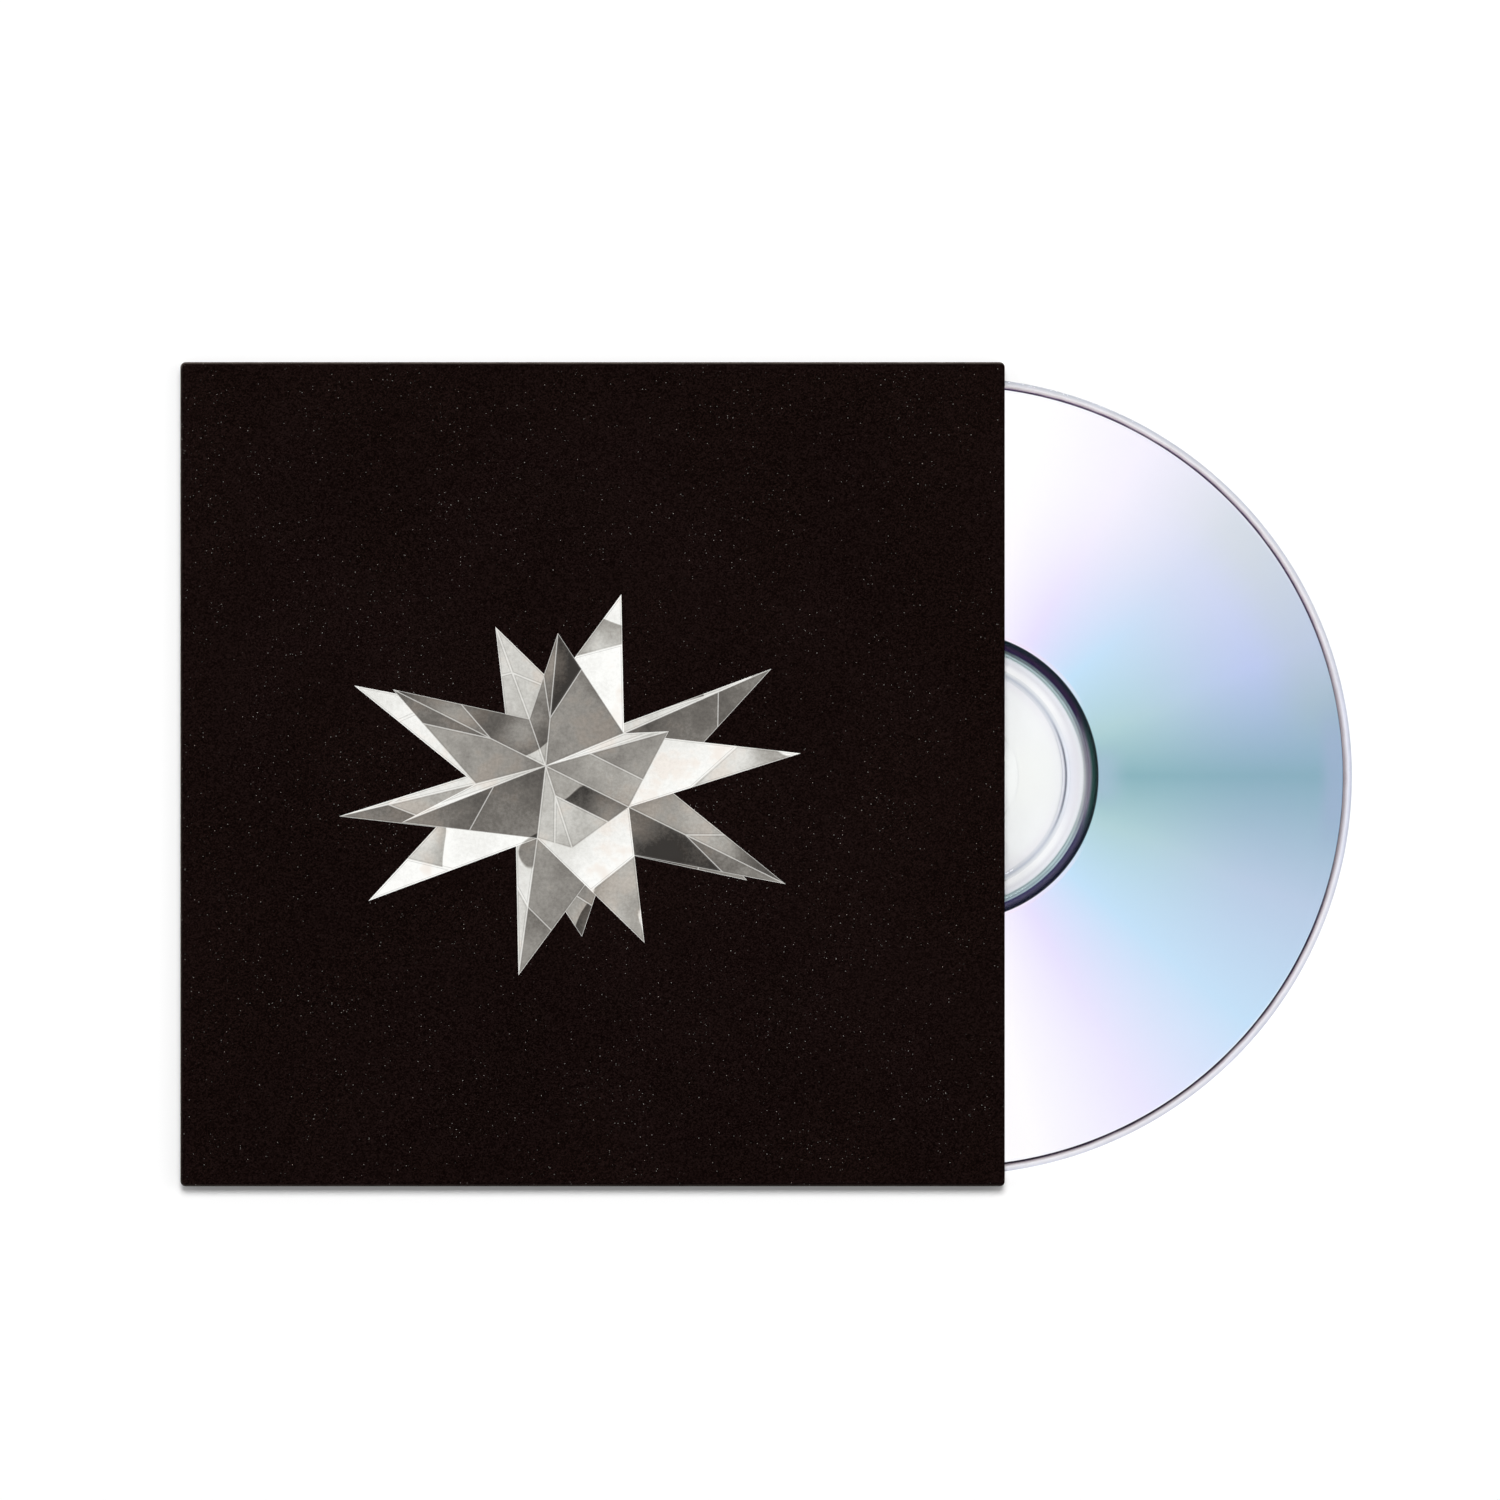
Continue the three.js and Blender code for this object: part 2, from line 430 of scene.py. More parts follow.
def prism(name, outline, low, high, materialIndex):
    # an upright block over an outline
    maker = bmesh.new()
    base = [maker.verts.new((x, y, low)) for x, y in outline]
    top = [maker.verts.new((x, y, high)) for x, y in outline]
    maker.faces.new(reversed(base))
    maker.faces.new(top)
    for first in range(len(outline)):
        second = (first + 1) % len(outline)
        maker.faces.new((base[first], base[second], top[second], top[first]))
    for face in maker.faces:
        face.material_index = materialIndex
    mesh = bpy.data.meshes.new(name)
    maker.to_mesh(mesh)
    maker.free()
    return meshObject(name, mesh)


def cutBy(target, tool, operation):
    modifier = target.modifiers.new(operation.lower(), "BOOLEAN")
    modifier.operation = operation
    modifier.solver = "EXACT"
    modifier.object = tool


def foldedSlab(settings):
    # the closed outside of the sleeve, with its three folds round, and long past the open edge
    fold, corner, steps = settings["foldRadius"], settings["cornerRadius"], settings["foldSteps"]
    low, high = sleeveLow.z, sleeveHigh.z - settings["inkRelief"]
    levels = []
    for step in range(steps + 1):
        angle = math.radians(90 * step / steps)
        levels.append((fold * (1 - math.sin(angle)), low + fold * (1 - math.cos(angle))))
    levels += [(inset, low + high - height) for inset, height in reversed(levels)]
    maker = bmesh.new()
    rings = []
    for inset, height in levels:
        left, right = sleeveLow.x + inset, sleeveHigh.x + settings["cutOverrun"]
        bottom, top = sleeveLow.y + inset, sleeveHigh.y - inset
        radius = corner - inset
        outline = [(right, bottom), (right, top)]
        outline += roundCorner(left + radius, top - radius, radius, 90, settings["cornerSteps"])
        outline += roundCorner(left + radius, bottom + radius, radius, 180, settings["cornerSteps"])
        rings.append([maker.verts.new((x, y, height)) for x, y in outline])
    for lower, upper in zip(rings, rings[1:]):
        for first in range(len(lower)):
            second = (first + 1) % len(lower)
            maker.faces.new((lower[first], lower[second], upper[second], upper[first]))
    maker.faces.new(reversed(rings[0]))
    maker.faces.new(rings[-1])
    mesh = bpy.data.meshes.new("slab")
    maker.to_mesh(mesh)
    maker.free()
    return meshObject("slab", mesh)


def openEdgeTrim(settings):
    # keeps what lies left of the open edge, with its two corners round
    past, radius, steps = settings["cutOverrun"], settings["cornerRadius"], settings["cornerSteps"]
    right = sleeveHigh.x
    outline = [(sleeveLow.x - past, sleeveLow.y - past), (right - radius, sleeveLow.y - past)]
    outline += roundCorner(right - radius, sleeveLow.y + radius, radius, -90, steps)
    outline += roundCorner(right - radius, sleeveHigh.y - radius, radius, 0, steps)
    outline += [(right - radius, sleeveHigh.y + past), (sleeveLow.x - past, sleeveHigh.y + past)]
    return prism("trim", outline, sleeveLow.z - past, sleeveHigh.z + past, cutSide)


def pocketCutters(settings):
    # the pocket below the glue flaps, and beside them up to the front panel
    board, past = settings["board"], settings["cutOverrun"]
    left, right = sleeveLow.x + board, sleeveHigh.x + 2 * past
    half = (sleeveHigh.y - sleeveLow.y) / 2 - board
    ceiling = settings["flapUnderside"]
    outline = [(left, -half), (right, -half), (right, half), (left, half)]
    lower = prism("pocketLower", outline, sleeveLow.z + board, ceiling, bareSide)
    free = half - settings["flapWidth"]
    spineEnd = left + settings["flapEndInset"]
    openEnd = sleeveHigh.x - settings["flapEndInset"]
    lean = settings["flapEndLean"]
    flapLine = [(openEnd, half), (openEnd - lean, free), (spineEnd + lean, free), (spineEnd, half)]
    outline = [(left, half), (left, -half)]
    outline += [(x, -y) for x, y in reversed(flapLine)]
    outline += [(right, -half), (right, half)]
    outline += flapLine
    top = sleeveHigh.z - board
    upper = prism("pocketUpper", outline, ceiling - settings["cutOverlap"], top, bareSide)
    return lower, upper


def makeSleeve(settings):
    slab = foldedSlab(settings)
    tools = [openEdgeTrim(settings), *pocketCutters(settings)]
    for tool, operation in zip(tools, ("INTERSECT", "DIFFERENCE", "DIFFERENCE")):
        cutBy(slab, tool, operation)
    materials = {
        printedSide: printedBlack(printSettings),
        bareSide: bareBoard(boardSettings),
        cutSide: cutBoardEdge(boardSettings),
    }
    for side in sorted(materials):
        slab.data.materials.append(materials[side])
    mesh = plainMesh(slab, "cardSleeve")
    for tool in tools:
        bpy.data.objects.remove(tool)
    for face in mesh.polygons:
        steepest = max(abs(part) for part in face.normal)
        face.use_smooth = steepest < settings["flatNormal"]
    sleeve = meshObject("cardSleeve", mesh)
    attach(sleeve, "sleeve")
    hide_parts("sleeve")
    print("sleeve:", len(mesh.polygons), "faces")


# Silver print: a folded paper star, drawn as if pressed flat on the front panel
starSettings = {
    "middle": (-3.4 * mm, -1.6 * mm),
    "reach": 38.5 * mm,
    "core": 14.5 * mm,
    "creases": (0.36, 0.5, 0.64),  # folds across a spike's edges, as shares of the way from its tip
    "squash": (1.0, 0.76, 1.0),
    "turn": (24, 37, 10),  # degrees
    "lightFrom": (-0.45, 0.55, 0.7),
    "darkest": 0.03,
    "contrast": 1.04,
    "tonePower": 1.7,
    "toneDraw": 0.13,
    "slopeDraw": (0.006, 0.022),  # tone per millimetre
    "patchShare": 0.4,  # share of facets with a darker mirrored patch
    "edgeOn": 0.001,  # facets whose normal rises less are left out
    "seed": 7,
}
foilSettings = {
    "tones": [
        (0.0, shade(44, 41, 38)), (0.25, shade(104, 100, 95)), (0.5, shade(158, 155, 149)),
        (0.75, shade(211, 210, 205)), (1.0, shade(246, 246, 243)),
    ],
    "patchSize": 13 * mm,
    "patchEdge": (0.475, 0.485),  # noise outside a patch and in it
    "patchFades": (0.72, 0.48),  # noise at a patch's faint side and at its dark side
    "patchDepth": (0.15, 0.46),  # tone taken off there
    "brushSize": 0.5 * mm,
    "brushDepth": 0.004 * mm,
    "brushTone": 0.05,
    "smudgeSize": 6 * mm,
    "smudgeTone": 0.08,
    "warmTint": shade(236, 222, 212),
    "lineWidth": 0.11 * mm,
    "grooveTone": shade(92, 88, 84),
    "grooveStrength": 0.3,
    "ridgeTone": shade(238, 237, 233),
    "ridgeStrength": 0.5,
}


def nearestEdge(tree):
    # distance to the facet's nearest edge, in millimetres
    edges = addNode(tree, "ShaderNodeAttribute", attribute_name="edgeDistance")
    parts = addNode(tree, "ShaderNodeSeparateColor", {"Color": edges.outputs["Color"]})
    nearest = edges.outputs["Alpha"]
    for part in parts.outputs:
        nearest = calc(tree, "MINIMUM", nearest, part)
    return nearest


def silverPrint(settings):
    # pale greys of folded foil; tone and edge distances come with the mesh
    material, tree, output, place = newMaterial("silverPrint")
    tone = addNode(tree, "ShaderNodeAttribute", attribute_name="tone").outputs["Fac"]
    patch = addNode(tree, "ShaderNodeAttribute", attribute_name="patch").outputs["Fac"]
    wave = noise(tree, place, settings["patchSize"], 1.2, 0.4)
    depth = fade(tree, wave, *settings["patchFades"], *settings["patchDepth"])
    mirrored = product(tree, fade(tree, wave, *settings["patchEdge"]), patch, depth)
    brush = noise(tree, place, settings["brushSize"], 4.0, 0.7)
    smudge = noise(tree, place, settings["smudgeSize"], 3.0, 0.6)
    tone = calc(tree, "SUBTRACT", tone, mirrored)
    brushed = fade(tree, brush, 0.25, 0.75, -settings["brushTone"], settings["brushTone"])
    smudged = spread(tree, smudge, -settings["smudgeTone"], settings["smudgeTone"])
    tone = calc(tree, "ADD", calc(tree, "ADD", tone, brushed), smudged)
    colour = ramp(tree, tone, settings["tones"])
    warm = fade(tree, smudge, 0.5, 0.66, 0.0, 0.5)
    colour = blendColours(tree, warm, colour, settings["warmTint"], "MULTIPLY")

    # beside each edge a pale ridge, then a darker groove
    nearest, width = nearestEdge(tree), settings["lineWidth"] / mm
    groove = product(tree, fade(tree, nearest, width * 1.2, width * 1.6),
                     fade(tree, nearest, width * 2.8, width * 1.9), settings["grooveStrength"])
    colour = blendColours(tree, groove, colour, settings["grooveTone"])
    ridge = fade(tree, nearest, width, width * 0.4, 0.0, settings["ridgeStrength"])
    colour = blendColours(tree, ridge, colour, settings["ridgeTone"])
    finishShader(
        tree, output,
        Base_Color=colour,
        Roughness=0.5,
        Specular_IOR_Level=0.1,
        Normal=bumpFrom(tree, brush, settings["brushDepth"], 0.4),
    )
    return material


def starFacets(settings):
    # each spike's three sides, with a crease across; a list of corner lists, before the turn
    shape = bmesh.new()
    bmesh.ops.create_icosphere(shape, subdivisions=1, radius=settings["core"])
    facets = []
    for face in shape.faces:
        corners = [vertex.co.copy() for vertex in face.verts]
        marks = [settings["creases"][vertex.index % 3] for vertex in face.verts]
        tip = face.calc_center_median().normalized() * settings["reach"]
        creases = [tip.lerp(corner, mark) for corner, mark in zip(corners, marks)]
        for first in range(3):
            second = (first + 1) % 3
            facets.append([tip, creases[first], creases[second]])
            facets.append([creases[first], corners[first], corners[second], creases[second]])
    shape.free()
    return facets


class Facet:
    # one flat face of the star, with its corners in millimetres and the look of its foil
    def __init__(self, corners, light, dice, settings):
        self.corners = corners
        self.normal = (corners[1] - corners[0]).cross(corners[2] - corners[0]).normalized()
        lit = 0.5 + 0.5 * self.normal.dot(light)
        self.tone = settings["darkest"] + settings["contrast"] * lit ** settings["tonePower"]
        self.tone += dice.uniform(-settings["toneDraw"], settings["toneDraw"])
        heading, steepness = dice.uniform(0, 2 * math.pi), dice.uniform(*settings["slopeDraw"])
        self.slope = Vector((math.cos(heading), math.sin(heading))) * steepness
        self.patch = 1.0 if dice.random() < settings["patchShare"] else 0.0
        self.middle = sum(corners, Vector()) / len(corners)

    def heightAt(self, x, y):
        start = self.corners[0]
        return start.z - (self.normal.x * (x - start.x) + self.normal.y * (y - start.y)) / self.normal.z

    def toneAt(self, x, y):
        tone = self.tone + self.slope.x * (x - self.middle.x) + self.slope.y * (y - self.middle.y)
        return min(1.0, max(0.0, tone))

    def edgeDistancesAt(self, x, y):
        # a fourth edge that isn't there is far off
        distances = []
        for start, end in zip(self.corners, self.corners[1:] + self.corners[:1]):
            along = Vector((end.x - start.x, end.y - start.y)).normalized()
            distances.append(abs(along.x * (y - start.y) - along.y * (x - start.x)))
        return distances + [99.0] * (4 - len(distances))


def topFacets(facets):
    # the facets laid flat and cut where they cross: points, and each triangle with the facet seen there
    onlyInside, weld = 1, 0.0001
    points, outlines = [], []
    for facet in facets:
        outlines.append(range(len(points), len(points) + len(facet.corners)))
        points += [corner.xy for corner in facet.corners]
    spots, _, triangles, *_, owners = delaunay_2d_cdt(points, [], outlines, onlyInside, weld, True)
    seen = []
    for triangle, stacked in zip(triangles, owners):
        if stacked:  # else it lies between two spikes
            x, y = sum((spots[corner] for corner in triangle), Vector((0, 0))) / 3
            highest = max(stacked, key=lambda index: facets[index].heightAt(x, y))
            seen.append((triangle, facets[highest]))
    return spots, seen


def makeStar(settings):
    dice = random.Random(settings["seed"])
    turn = Euler([math.radians(angle) for angle in settings["turn"]]).to_matrix()
    squash, light = Vector(settings["squash"]) / mm, Vector(settings["lightFrom"]).normalized()
    facets = [Facet([(turn @ corner) * squash for corner in corners], light, dice, settings)
              for corners in starFacets(settings)]
    spots, seen = topFacets([facet for facet in facets if facet.normal.z > settings["edgeOn"]])
    maker = bmesh.new()
    toneLayer = maker.loops.layers.float.new("tone")
    patchLayer = maker.loops.layers.float.new("patch")
    edgeLayer = maker.loops.layers.float_color.new("edgeDistance")
    left, bottom = settings["middle"]
    verts = [maker.verts.new((left + x * mm, bottom + y * mm, sleeveHigh.z)) for x, y in spots]
    for triangle, facet in seen:
        face = maker.faces.new([verts[index] for index in triangle])
        for loop, index in zip(face.loops, triangle):
            x, y = spots[index]
            loop[toneLayer] = facet.toneAt(x, y)
            loop[patchLayer] = facet.patch
            loop[edgeLayer] = facet.edgeDistancesAt(x, y)
    bmesh.ops.delete(maker, geom=[vert for vert in maker.verts if not vert.link_faces], context="VERTS")
    mesh = bpy.data.meshes.new("starFace")
    maker.to_mesh(mesh)
    maker.free()
    worker = meshObject("starWorker", mesh, silverPrint(foilSettings))
    thicken = worker.modifiers.new("thicken", "SOLIDIFY")
    thicken.thickness = 2 * sleeveSettings["inkRelief"]  # the lower half lies in the board
    thicken.offset = -1
    mesh = plainMesh(worker, "silverStar")
    star = meshObject("silverStar", mesh)
    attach(star, "sleeve")
    print("star:", len(mesh.polygons), "faces")


# Disc: a clear moulding turned from its section, over the metal film
discSettings = {
    "turnSteps": 256,
    "thickness": 1.2 * mm,
    "holeRadius": 7.5 * mm,
    "edgeRound": 0.15 * mm,
    "ring": (17.0 * mm, 0.6 * mm, 0.2 * mm),  # radius, half width, height
    "mouldGroove": (19.8 * mm, 0.35 * mm, -0.12 * mm),
    "hubGroove": (9.8 * mm, 0.25 * mm, -0.08 * mm),
    "arcSteps": 6,
    "waveSteps": 12,
    "weld": 0.0001 * mm,
    "sharpFrom": 30,  # degrees
}
filmSettings = {
    "innerRadius": 20.5 * mm,
    "sunk": 0.01 * mm,  # the film lies this far up in the plastic, so the two never share a face
    "outline": 0.06 * mm,  # dark line along its outer edge
    "outlineTurn": (4, 24),  # degrees from the level line: the pale tint ends, the dark one begins
    "outlineEdge": (-0.05, 0.03),  # about its inner side, in millimetres: starts, full
    "brightLine": (0.45, 0.15),  # inside the dark line, in millimetres: starts, full
    "brightTurn": (20, 45),  # degrees from the level line: starts, full
    "glowSpan": (0, 90),  # degrees that the tints of the glow lie between
    "bandSpan": (20, 22),  # radii that the tints of the band lie between, in millimetres
    "halves": (-3 * mm, 3 * mm),  # about the level line: the lower half ends, the upper one begins
    "glowRadii": (24, 50),  # in millimetres: the inner glow ends, the outer one begins
    "bandTurn": (8, 30),  # degrees from the level line: the band's level tint ends, the others begin
    "bandEnd": (21.95, 21.8),  # in millimetres: none, full
}


def turnTree():
    # turns a section, drawn as edges of radius and height, into a closed ring
    tree = bpy.data.node_groups.new("turnedSection", "GeometryNodeTree")
    sockets = [("Section", "Geometry"), ("Path Radius", "Float"), ("Steps", "Int"),
               ("Middle", "Vector"), ("Material", "Material")]
    for name, kind in sockets:
        tree.interface.new_socket(name, in_out="INPUT", socket_type="NodeSocket" + kind)
    tree.interface.new_socket("Ring", in_out="OUTPUT", socket_type="NodeSocketGeometry")
    given = addNode(tree, "NodeGroupInput").outputs
    section = addNode(tree, "GeometryNodeMeshToCurve", {"Mesh": given["Section"]})
    path = addNode(tree, "GeometryNodeCurvePrimitiveCircle",
                   {"Radius": given["Path Radius"], "Resolution": given["Steps"]})
    turned = addNode(tree, "GeometryNodeCurveToMesh",
                     {"Curve": path.outputs["Curve"], "Profile Curve": section.outputs["Curve"]})
    moved = addNode(tree, "GeometryNodeTransform",
                    {"Geometry": turned.outputs[0], "Translation": given["Middle"]})
    real = addNode(tree, "GeometryNodeRealizeInstances", {"Geometry": moved.outputs[0]})
    painted = addNode(tree, "GeometryNodeSetMaterial",
                      {"Geometry": real.outputs[0], "Material": given["Material"]})
    addNode(tree, "NodeGroupOutput", {"Ring": painted.outputs[0]})
    return tree


def setInputs(modifier, values):
    # the tree's named inputs, by their sockets' identifiers
    for item in modifier.node_group.interface.items_tree:
        if item.item_type == "SOCKET" and item.in_out == "INPUT" and item.name in values:
            modifier[item.identifier] = values[item.name]


def turnedMesh(name, section, material, pathRadius):
    # section is a closed list of (radius, height)
    points = [(radius - pathRadius, -height, 0) for radius, height in section]
    edges = [(first, (first + 1) % len(points)) for first in range(len(points))]
    mesh = bpy.data.meshes.new(name + "Section")
    mesh.from_pydata(points, edges, [])
    worker = meshObject(name + "Worker", mesh)
    modifier = worker.modifiers.new("turn", "NODES")
    modifier.node_group = bpy.data.node_groups.get("turnedSection") or turnTree()
    setInputs(modifier, {"Path Radius": pathRadius, "Steps": discSettings["turnSteps"],
                         "Middle": discMiddle, "Material": material})
    made = plainMesh(worker, name)
    maker = bmesh.new()
    maker.from_mesh(made)
    bmesh.ops.remove_doubles(maker, verts=maker.verts, dist=discSettings["weld"])
    bmesh.ops.recalc_face_normals(maker, faces=maker.faces)
    maker.to_mesh(made)
    maker.free()
    made.shade_smooth()
    made.set_sharp_from_angle(angle=math.radians(discSettings["sharpFrom"]))
    return made


def roundRidge(feature, base):
    # a half round ridge or groove in the top face, walked inwards
    radius, half, height = feature
    steps = discSettings["waveSteps"]
    points = []
    for step in range(steps + 1):
        angle = math.pi * step / steps
        points.append((radius + half * math.cos(angle), base + height * math.sin(angle)))
    return points


def discSection(settings):
    low, high = discLow.z, discLow.z + settings["thickness"]
    ease, steps, hole = settings["edgeRound"], settings["arcSteps"], settings["holeRadius"]
    section = roundCorner(discRadius - ease, low + ease, ease, -90, steps)
    section += roundCorner(discRadius - ease, high - ease, ease, 0, steps)
    section += roundRidge(settings["mouldGroove"], high)
    section += roundRidge(settings["ring"], high)
    section += roundRidge(settings["hubGroove"], high)
    section += roundCorner(hole + ease, high - ease, ease, 90, steps)
    section += roundCorner(hole + ease, low + ease, ease, 180, steps)
    return section


def aroundDisc(tree, place):
    # radius in millimetres, angle from the disc's level line in degrees, 0 to 90, and height above it
    centred = addNode(tree, "ShaderNodeMapping", {"Vector": place, "Location": tuple(-discMiddle)})
    parts = addNode(tree, "ShaderNodeSeparateXYZ", {"Vector": centred.outputs[0]})
    across, up = parts.outputs[0], parts.outputs[1]
    squares = calc(tree, "ADD", product(tree, across, across), product(tree, up, up))
    radius = calc(tree, "DIVIDE", calc(tree, "SQRT", squares), mm)
    angle = calc(tree, "ARCTAN2", calc(tree, "ABSOLUTE", up), calc(tree, "ABSOLUTE", across))
    return radius, calc(tree, "DEGREES", angle), up


# Clear moulding
plasticSettings = {
    # what the studio makes of its tint, found with even tints over the white floor
    "glare": 0.03,  # light that its faces mirror
    "floorLight": 1.52,  # the floor as seen through plastic without a tint
    "deepening": 1.3,  # power at which a tint darkens the floor
    "flowSize": 4 * mm,
    "wave": 0.04,  # of the rim's lines, in millimetres
    "hubSpan": (7, 21),  # radii that the tints of the hub and of the rim lie between, in millimetres
    "rimSpan": (58, 60),
    "hubTurn": (8, 36),  # degrees from the level line: the level tint ends, the steep one begins
    "rimTurn": (6, 26),
    "rimOverlap": 0.05,  # of the rim's tint over the film, in millimetres
}


def through(red, green, blue):
    # the tint through which the white floor shows in this screen colour
    tint = []
    for part in shade(red, green, blue)[:3]:
        floorShare = (part - plasticSettings["glare"]) / plasticSettings["floorLight"]
        tint.append(floorShare ** (1 / plasticSettings["deepening"]))
    return *tint, 1.0


# Tints by radius in millimetres, which paint the shade and highlights that the hub's rings and grooves
# and the rounded rim make by refraction and reflection; level is beside the disc's level line, steep is
# away from it
paintedPlasticShading = {
    "hubLevel": [
        (7.5, through(225, 230, 235)), (7.8, through(252, 254, 253)),  # the hole's edge
        (9.5, through(252, 254, 253)), (9.8, through(243, 245, 245)),  # fine groove
        (10.1, through(250, 252, 250)), (15.0, through(244, 246, 246)), (16.1, through(240, 241, 243)),
        (16.4, through(223, 225, 230)), (16.75, through(236, 236, 246)),  # foot of the stacking ring
        (16.98, through(62, 67, 82)), (17.2, through(236, 240, 250)),  # dark line on the ring
        (18.8, through(232, 230, 237)), (19.4, through(232, 236, 240)),
        (19.72, through(174, 180, 182)), (20.5, through(112, 107, 127)),  # moulding groove and past it
    ],
    "hubSteep": [
        (7.5, through(225, 230, 235)), (7.8, through(248, 250, 249)),
        (15.0, through(247, 249, 250)), (16.4, through(240, 239, 244)),
        (17.0, through(190, 197, 210)), (17.6, through(255, 255, 255)),  # soft side of the stacking ring
        (18.2, through(252, 253, 254)), (18.8, through(230, 229, 236)), (19.4, through(236, 238, 245)),
        (19.62, through(122, 146, 148)), (19.9, through(188, 208, 210)),  # moulding groove
        (20.1, through(140, 164, 170)), (20.35, through(168, 188, 198)), (20.5, through(110, 114, 144)),
    ],
    "rimLevel": [
        (58.7, through(156, 148, 158)), (58.9, through(168, 158, 164)), (59.42, through(244, 245, 255)),
        (59.7, through(222, 227, 246)), (60.0, through(188, 194, 210)),
    ],
    "rimSteep": [
        (58.7, through(58, 50, 74)), (58.8, through(72, 60, 84)), (59.0, through(192, 178, 184)),
        (59.35, through(253, 252, 255)), (60.0, through(200, 206, 224)),
    ],
}


def turningTint(tree, place, tints, span, angle, turn):
    # the level tint beside the level line, the steep one away from it
    level, steep = [ramp(tree, place, stops, *span) for stops in tints]
    return blendColours(tree, fade(tree, angle, *turn), level, steep)


def clearPlastic(tints, settings):
    # clear moulded plastic that lets the lamps through to what lies under it, with painted shade and
    # highlights at its rings, grooves and rim
    material, tree, output, place = newMaterial("clearPlastic")
    radius, angle, _ = aroundDisc(tree, place)
    flow = noise(tree, place, settings["flowSize"], 2.0)
    wavy = calc(tree, "ADD", radius, spread(tree, flow, -settings["wave"], settings["wave"]))
    hubTints, rimTints = (tints["hubLevel"], tints["hubSteep"]), (tints["rimLevel"], tints["rimSteep"])
    # painted shade and highlights of the hub's rings and grooves and of the rounded rim
    hub = turningTint(tree, radius, hubTints, settings["hubSpan"], angle, settings["hubTurn"])
    rim = turningTint(tree, wavy, rimTints, settings["rimSpan"], angle, settings["rimTurn"])
    pastHub = calc(tree, "GREATER_THAN", radius, filmSettings["innerRadius"] / mm)
    inside = blendColours(tree, pastHub, hub, (1, 1, 1, 1))  # no tint over the film
    pastFilm = calc(tree, "GREATER_THAN", radius, filmRadius / mm - settings["rimOverlap"])
    colour = blendColours(tree, pastFilm, inside, rim)
    shader = finishShader(
        tree, output,
        Base_Color=colour,
        Roughness=spread(tree, flow, 0.0, 0.02),
        IOR=1.5,
        Transmission_Weight=1.0,
        Specular_Tint=(0.25, 0.25, 0.25, 1.0),
    )
    path = addNode(tree, "ShaderNodeLightPath")
    clearWay = addNode(tree, "ShaderNodeBsdfTransparent")
    mix = addNode(tree, "ShaderNodeMixShader", {"Fac": path.outputs["Is Shadow Ray"]})
    tree.links.new(shader.outputs[0], mix.inputs[1])
    tree.links.new(clearWay.outputs[0], mix.inputs[2])
    tree.links.new(mix.outputs[0], output.inputs[0])
    return material


# Colours painted on the film: its diffraction sheen from teal to white by angle in degrees, the white
# standing in for highlights, and the painted dark reflection of its mirror band by radius
paintedFilmSheen = {
    "inner": [
        (0, shade(138, 180, 190)), (18, shade(178, 210, 216)), (40, shade(195, 225, 248)),
        (60, shade(231, 225, 254)), (78, shade(254, 250, 254)),
    ],
    "outerUpper": [
        (0, shade(137, 174, 191)), (20, shade(188, 201, 238)), (42, shade(215, 221, 243)),
        (60, shade(246, 242, 254)), (76, shade(255, 254, 255)),
    ],
    "outerLower": [
        (0, shade(137, 174, 191)), (20, shade(185, 203, 227)), (40, shade(197, 224, 247)),
        (60, shade(235, 231, 254)), (78, shade(254, 252, 254)),
    ],
    "bandLevel": [
        (20.5, shade(140, 132, 150)), (21.0, shade(36, 74, 70)), (21.65, shade(4, 22, 24)),
        (21.8, shade(20, 44, 48)),
    ],
    "bandUpper": [(20.5, shade(20, 16, 66)), (20.9, shade(46, 26, 58)), (21.45, shade(2, 22, 32))],
    "bandLower": [(20.5, shade(30, 34, 84)), (20.9, shade(74, 70, 98)), (21.5, shade(6, 14, 34))],
}
# small accents of the painted diffraction sheen
paintedSheenAccents = [
    # radius in millimetres and angle in degrees, each from none to full; strength at full; colour
    ((54.4, 57.2), (14, 4), 0.7, shade(160, 178, 207)),  # lilac beside the rim
    ((27, 22.5), (14, 4), 0.8, shade(166, 193, 211)),  # haze beside the mirror band
    ((22.6, 22.2), (25, 40), 0.4, shade(244, 228, 242)),  # rosy line around the mirror band
]


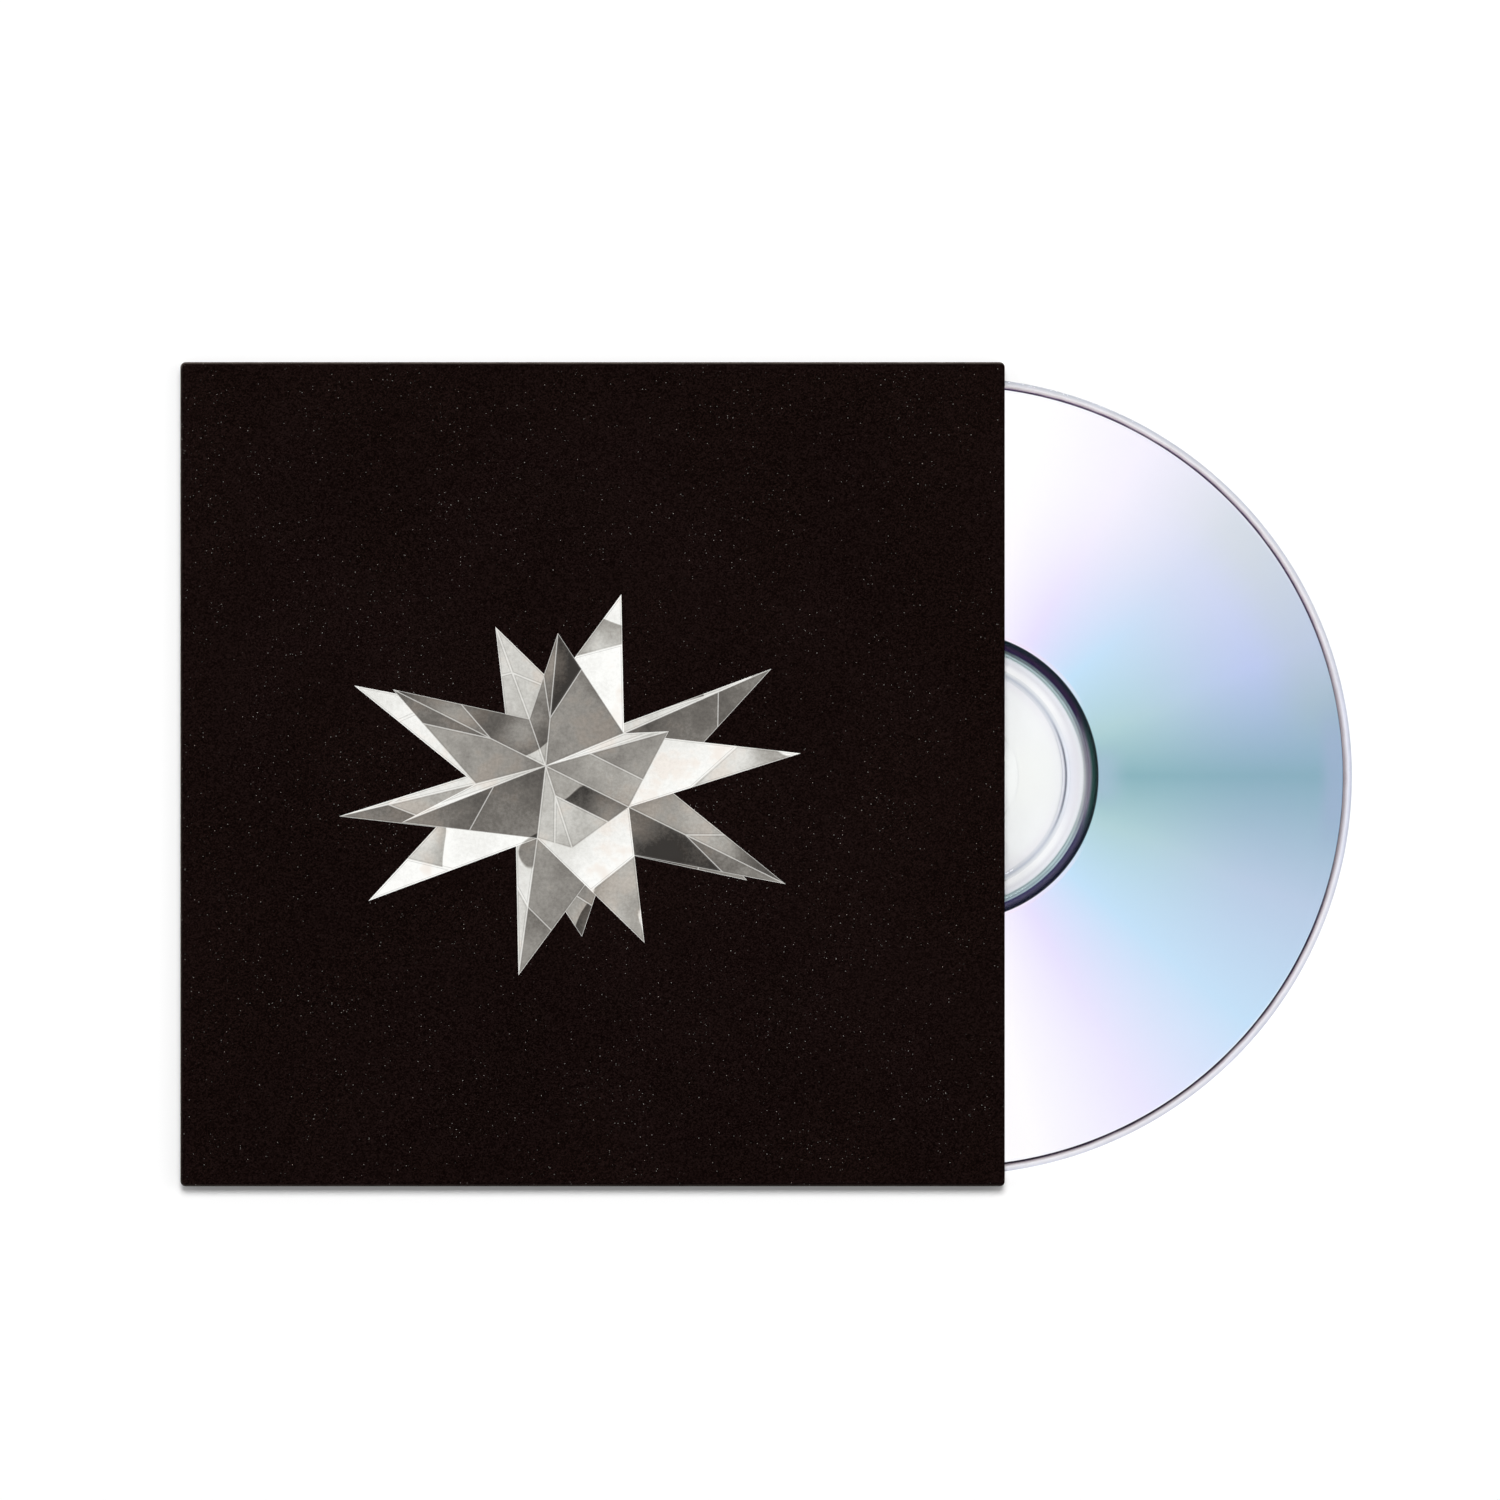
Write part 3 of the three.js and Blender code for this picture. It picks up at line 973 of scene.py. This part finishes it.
def silverFilm(tints, accents):
    # mirror metal whose base colour is painted sheen: a pastel diffraction glow that changes with the
    # angle about the disc's middle and along its radius, and a painted dark reflection in the mirror band
    material, tree, output, place = newMaterial("silverFilm")
    radius, angle, up = aroundDisc(tree, place)
    above = fade(tree, up, *filmSettings["halves"])
    colours = {}
    for name in ("inner", "outerUpper", "outerLower"):
        colours[name] = ramp(tree, angle, tints[name], *filmSettings["glowSpan"])
    for name in ("bandLevel", "bandUpper", "bandLower"):
        colours[name] = ramp(tree, radius, tints[name], *filmSettings["bandSpan"])
    outer = blendColours(tree, above, colours["outerLower"], colours["outerUpper"])
    glow = blendColours(tree, fade(tree, radius, *filmSettings["glowRadii"]), colours["inner"], outer)

    # yellower near the rim in the upper half
    yellow = product(tree, fade(tree, up, 2 * mm, 12 * mm), fade(tree, radius, 47, 56))
    yellow = product(tree, yellow, fade(tree, angle, 60, 35))
    glow = blendColours(tree, yellow, glow, shade(255, 255, 240), "MULTIPLY")
    for radii, angles, strength, tint in accents:
        share = product(tree, fade(tree, radius, *radii), fade(tree, angle, *angles, 0.0, strength))
        glow = blendColours(tree, share, glow, tint)

    # the mirror band's dark colours are a painted reflection
    band = blendColours(tree, above, colours["bandLower"], colours["bandUpper"])
    band = blendColours(tree, fade(tree, angle, *filmSettings["bandTurn"]), colours["bandLevel"], band)
    glow = blendColours(tree, fade(tree, radius, *filmSettings["bandEnd"]), glow, band)

    # a bright line and a dark outline at the film's outer edge
    edge = (filmRadius - filmSettings["outline"]) / mm
    starts, full = [edge - inside for inside in filmSettings["brightLine"]]
    turned = fade(tree, angle, *filmSettings["brightTurn"], 0.0, 0.4)
    bright = product(tree, turned, fade(tree, radius, starts, full))
    glow = blendColours(tree, bright, glow, shade(238, 240, 248))
    turned = fade(tree, angle, *filmSettings["outlineTurn"])
    outline = blendColours(tree, turned, shade(122, 112, 122), shade(8, 5, 16))
    outlined = fade(tree, radius, *[edge + offset for offset in filmSettings["outlineEdge"]])
    finishShader(
        tree, output,
        Base_Color=blendColours(tree, outlined, glow, outline),
        Metallic=1.0,
        Roughness=0.07,
    )
    return material


def labelLacquer():
    # plain silver-white lacquer on the disc's other side
    material, tree, output, place = newMaterial("labelLacquer")
    grain = noise(tree, place, 0.4 * mm, 3.0)
    colour = ramp(tree, grain, [(0.3, shade(205, 206, 208)), (0.7, shade(226, 227, 229))])
    finishShader(
        tree, output,
        Base_Color=colour,
        Roughness=spread(tree, grain, 0.3, 0.4),
        Coat_Weight=0.3,
        Coat_Roughness=0.1,
    )
    return material


def makeDisc():
    section = discSection(discSettings)
    pathRadius = (discRadius + discSettings["holeRadius"]) / 2
    mesh = turnedMesh("clearDisc", section, clearPlastic(paintedPlasticShading, plasticSettings), pathRadius)
    disc = meshObject("clearDisc", mesh)
    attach(disc, "disc")
    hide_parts("disc_substrate")
    print("clear disc:", len(mesh.polygons), "faces")

    inner, outer = filmSettings["innerRadius"], filmRadius
    low, high = filmLow.z, filmHigh.z + filmSettings["sunk"]
    section = [(inner, low), (outer, low), (outer, high), (inner, high)]
    mesh = turnedMesh("silverFilm", section, silverFilm(paintedFilmSheen, paintedSheenAccents), (inner + outer) / 2)
    mesh.materials.append(labelLacquer())
    for face in mesh.polygons:
        face.material_index = 1 if face.normal.z < -0.5 else 0
    film = meshObject("silverFilm", mesh)
    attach(film, "disc")
    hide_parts("reflective_layer")
    print("silver film:", len(mesh.polygons), "faces")


bpy.context.scene.view_settings.view_transform = "Standard"
makeCamera(cameraSettings)
makeRoom(studioSettings)
makeFloor(studioSettings)
makeLamps(studioSettings)
print("studio: ready")
makeSleeve(sleeveSettings)
makeStar(starSettings)
makeDisc()
